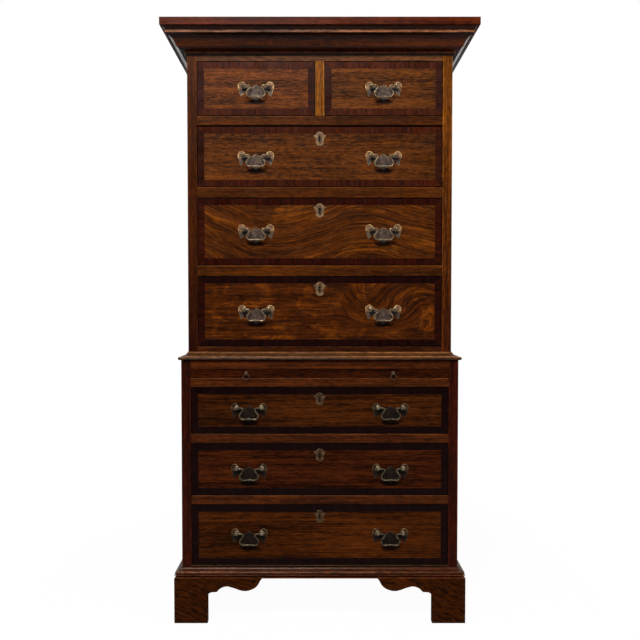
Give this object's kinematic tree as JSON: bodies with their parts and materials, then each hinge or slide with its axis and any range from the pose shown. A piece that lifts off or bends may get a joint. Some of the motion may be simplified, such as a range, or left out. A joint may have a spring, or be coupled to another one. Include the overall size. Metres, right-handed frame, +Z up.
{
  "type": "chest on chest",
  "caption": "Oak chest on chest with crossbanded drawers, brushing slide, moulded cornice, waist and base mouldings and scrolled bracket feet.",
  "frame": {"origin": "on the floor, in the middle of the width and of the depth from the cornice's front to the back", "axes": "+X to the right as seen from the front, +Y to the back, +Z up; the drawers face -Y"},
  "size_m": [0.936, 0.539, 1.8],
  "materials": {
    "oak": "waxed and polished old oak, satin",
    "mahogany": "dark polished crossbanding, satin",
    "lining_oak": "dry unpolished oak",
    "pine": "dry unpolished pine, darkened by age",
    "brass": "aged brass, rubbed bright on its edges"
  },
  "bodies": {
    "chest": {"upper_case_sides": "oak", "lower_case_sides": "oak", "upper_case_front_frame": "oak", "lower_case_front_frame": "oak", "upper_case_inner_boards": "pine", "lower_case_inner_boards": "pine", "case_backs": "pine", "cornice": "oak", "waist_and_base_mouldings": "oak", "bracket_feet": "oak"},
    "top_left_drawer": {"top_left_drawer_front": "oak", "top_left_drawer_crossbanding": "mahogany", "top_left_drawer_lining": "lining_oak", "top_left_drawer_brasses": "brass"},
    "top_left_drawer_bail": {"top_left_drawer_bail": "brass"},
    "top_right_drawer": {"top_right_drawer_front": "oak", "top_right_drawer_crossbanding": "mahogany", "top_right_drawer_lining": "lining_oak", "top_right_drawer_brasses": "brass"},
    "top_right_drawer_bail": {"top_right_drawer_bail": "brass"},
    "upper_drawer_high": {"upper_drawer_high_front": "oak", "upper_drawer_high_crossbanding": "mahogany", "upper_drawer_high_lining": "lining_oak", "upper_drawer_high_brasses": "brass"},
    "upper_drawer_high_left_bail": {"upper_drawer_high_left_bail": "brass"},
    "upper_drawer_high_right_bail": {"upper_drawer_high_right_bail": "brass"},
    "upper_drawer_middle": {"upper_drawer_middle_front": "oak", "upper_drawer_middle_crossbanding": "mahogany", "upper_drawer_middle_lining": "lining_oak", "upper_drawer_middle_brasses": "brass"},
    "upper_drawer_middle_left_bail": {"upper_drawer_middle_left_bail": "brass"},
    "upper_drawer_middle_right_bail": {"upper_drawer_middle_right_bail": "brass"},
    "upper_drawer_low": {"upper_drawer_low_front": "oak", "upper_drawer_low_crossbanding": "mahogany", "upper_drawer_low_lining": "lining_oak", "upper_drawer_low_brasses": "brass"},
    "upper_drawer_low_left_bail": {"upper_drawer_low_left_bail": "brass"},
    "upper_drawer_low_right_bail": {"upper_drawer_low_right_bail": "brass"},
    "lower_drawer_high": {"lower_drawer_high_front": "oak", "lower_drawer_high_crossbanding": "mahogany", "lower_drawer_high_lining": "lining_oak", "lower_drawer_high_brasses": "brass"},
    "lower_drawer_high_left_bail": {"lower_drawer_high_left_bail": "brass"},
    "lower_drawer_high_right_bail": {"lower_drawer_high_right_bail": "brass"},
    "lower_drawer_middle": {"lower_drawer_middle_front": "oak", "lower_drawer_middle_crossbanding": "mahogany", "lower_drawer_middle_lining": "lining_oak", "lower_drawer_middle_brasses": "brass"},
    "lower_drawer_middle_left_bail": {"lower_drawer_middle_left_bail": "brass"},
    "lower_drawer_middle_right_bail": {"lower_drawer_middle_right_bail": "brass"},
    "lower_drawer_low": {"lower_drawer_low_front": "oak", "lower_drawer_low_crossbanding": "mahogany", "lower_drawer_low_lining": "lining_oak", "lower_drawer_low_brasses": "brass"},
    "lower_drawer_low_left_bail": {"lower_drawer_low_left_bail": "brass"},
    "lower_drawer_low_right_bail": {"lower_drawer_low_right_bail": "brass"},
    "slide": {"brushing_slide": "oak", "slide_pull_posts": "brass"},
    "slide_left_ring": {"slide_left_ring": "brass"},
    "slide_right_ring": {"slide_right_ring": "brass"}
  },
  "joints": [
    {"name": "top_left_drawer_slide", "type": "slide", "parent": "chest", "child": "top_left_drawer", "axis": [0, -1, 0], "range_m": [0, 0.33]},
    {"name": "top_left_drawer_bail_swing", "type": "hinge", "parent": "top_left_drawer", "child": "top_left_drawer_bail", "pos_m": [-0.19225, -0.2135, 1.62025], "axis": [-1, 0, 0], "range_deg": [-6, 100]},
    {"name": "top_right_drawer_slide", "type": "slide", "parent": "chest", "child": "top_right_drawer", "axis": [0, -1, 0], "range_m": [0, 0.33]},
    {"name": "top_right_drawer_bail_swing", "type": "hinge", "parent": "top_right_drawer", "child": "top_right_drawer_bail", "pos_m": [0.19225, -0.2135, 1.62025], "axis": [-1, 0, 0], "range_deg": [-6, 100]},
    {"name": "upper_drawer_high_slide", "type": "slide", "parent": "chest", "child": "upper_drawer_high", "axis": [0, -1, 0], "range_m": [0, 0.33]},
    {"name": "upper_drawer_high_left_bail_swing", "type": "hinge", "parent": "upper_drawer_high", "child": "upper_drawer_high_left_bail", "pos_m": [-0.193, -0.2135, 1.413], "axis": [-1, 0, 0], "range_deg": [-6, 100]},
    {"name": "upper_drawer_high_right_bail_swing", "type": "hinge", "parent": "upper_drawer_high", "child": "upper_drawer_high_right_bail", "pos_m": [0.193, -0.2135, 1.413], "axis": [-1, 0, 0], "range_deg": [-6, 100]},
    {"name": "upper_drawer_middle_slide", "type": "slide", "parent": "chest", "child": "upper_drawer_middle", "axis": [0, -1, 0], "range_m": [0, 0.33]},
    {"name": "upper_drawer_middle_left_bail_swing", "type": "hinge", "parent": "upper_drawer_middle", "child": "upper_drawer_middle_left_bail", "pos_m": [-0.193, -0.2135, 1.1927], "axis": [-1, 0, 0], "range_deg": [-6, 100]},
    {"name": "upper_drawer_middle_right_bail_swing", "type": "hinge", "parent": "upper_drawer_middle", "child": "upper_drawer_middle_right_bail", "pos_m": [0.193, -0.2135, 1.1927], "axis": [-1, 0, 0], "range_deg": [-6, 100]},
    {"name": "upper_drawer_low_slide", "type": "slide", "parent": "chest", "child": "upper_drawer_low", "axis": [0, -1, 0], "range_m": [0, 0.33]},
    {"name": "upper_drawer_low_left_bail_swing", "type": "hinge", "parent": "upper_drawer_low", "child": "upper_drawer_low_left_bail", "pos_m": [-0.193, -0.2135, 0.94895], "axis": [-1, 0, 0], "range_deg": [-6, 100]},
    {"name": "upper_drawer_low_right_bail_swing", "type": "hinge", "parent": "upper_drawer_low", "child": "upper_drawer_low_right_bail", "pos_m": [0.193, -0.2135, 0.94895], "axis": [-1, 0, 0], "range_deg": [-6, 100]},
    {"name": "lower_drawer_high_slide", "type": "slide", "parent": "chest", "child": "lower_drawer_high", "axis": [0, -1, 0], "range_m": [0, 0.36]},
    {"name": "lower_drawer_high_left_bail_swing", "type": "hinge", "parent": "lower_drawer_high", "child": "lower_drawer_high_left_bail", "pos_m": [-0.214, -0.2325, 0.6519], "axis": [-1, 0, 0], "range_deg": [-6, 100]},
    {"name": "lower_drawer_high_right_bail_swing", "type": "hinge", "parent": "lower_drawer_high", "child": "lower_drawer_high_right_bail", "pos_m": [0.214, -0.2325, 0.6519], "axis": [-1, 0, 0], "range_deg": [-6, 100]},
    {"name": "lower_drawer_middle_slide", "type": "slide", "parent": "chest", "child": "lower_drawer_middle", "axis": [0, -1, 0], "range_m": [0, 0.36]},
    {"name": "lower_drawer_middle_left_bail_swing", "type": "hinge", "parent": "lower_drawer_middle", "child": "lower_drawer_middle_left_bail", "pos_m": [-0.214, -0.2325, 0.46745], "axis": [-1, 0, 0], "range_deg": [-6, 100]},
    {"name": "lower_drawer_middle_right_bail_swing", "type": "hinge", "parent": "lower_drawer_middle", "child": "lower_drawer_middle_right_bail", "pos_m": [0.214, -0.2325, 0.46745], "axis": [-1, 0, 0], "range_deg": [-6, 100]},
    {"name": "lower_drawer_low_slide", "type": "slide", "parent": "chest", "child": "lower_drawer_low", "axis": [0, -1, 0], "range_m": [0, 0.36]},
    {"name": "lower_drawer_low_left_bail_swing", "type": "hinge", "parent": "lower_drawer_low", "child": "lower_drawer_low_left_bail", "pos_m": [-0.214, -0.2325, 0.2695], "axis": [-1, 0, 0], "range_deg": [-6, 100]},
    {"name": "lower_drawer_low_right_bail_swing", "type": "hinge", "parent": "lower_drawer_low", "child": "lower_drawer_low_right_bail", "pos_m": [0.214, -0.2325, 0.2695], "axis": [-1, 0, 0], "range_deg": [-6, 100]},
    {"name": "brushing_slide_pull", "type": "slide", "parent": "chest", "child": "slide", "axis": [0, -1, 0], "range_m": [0, 0.3]},
    {"name": "slide_left_ring_swing", "type": "hinge", "parent": "slide", "child": "slide_left_ring", "pos_m": [-0.222, -0.231, 0.75585], "axis": [-1, 0, 0], "range_deg": [-8, 100]},
    {"name": "slide_right_ring_swing", "type": "hinge", "parent": "slide", "child": "slide_right_ring", "pos_m": [0.222, -0.231, 0.75585], "axis": [-1, 0, 0], "range_deg": [-8, 100]}
  ]
}
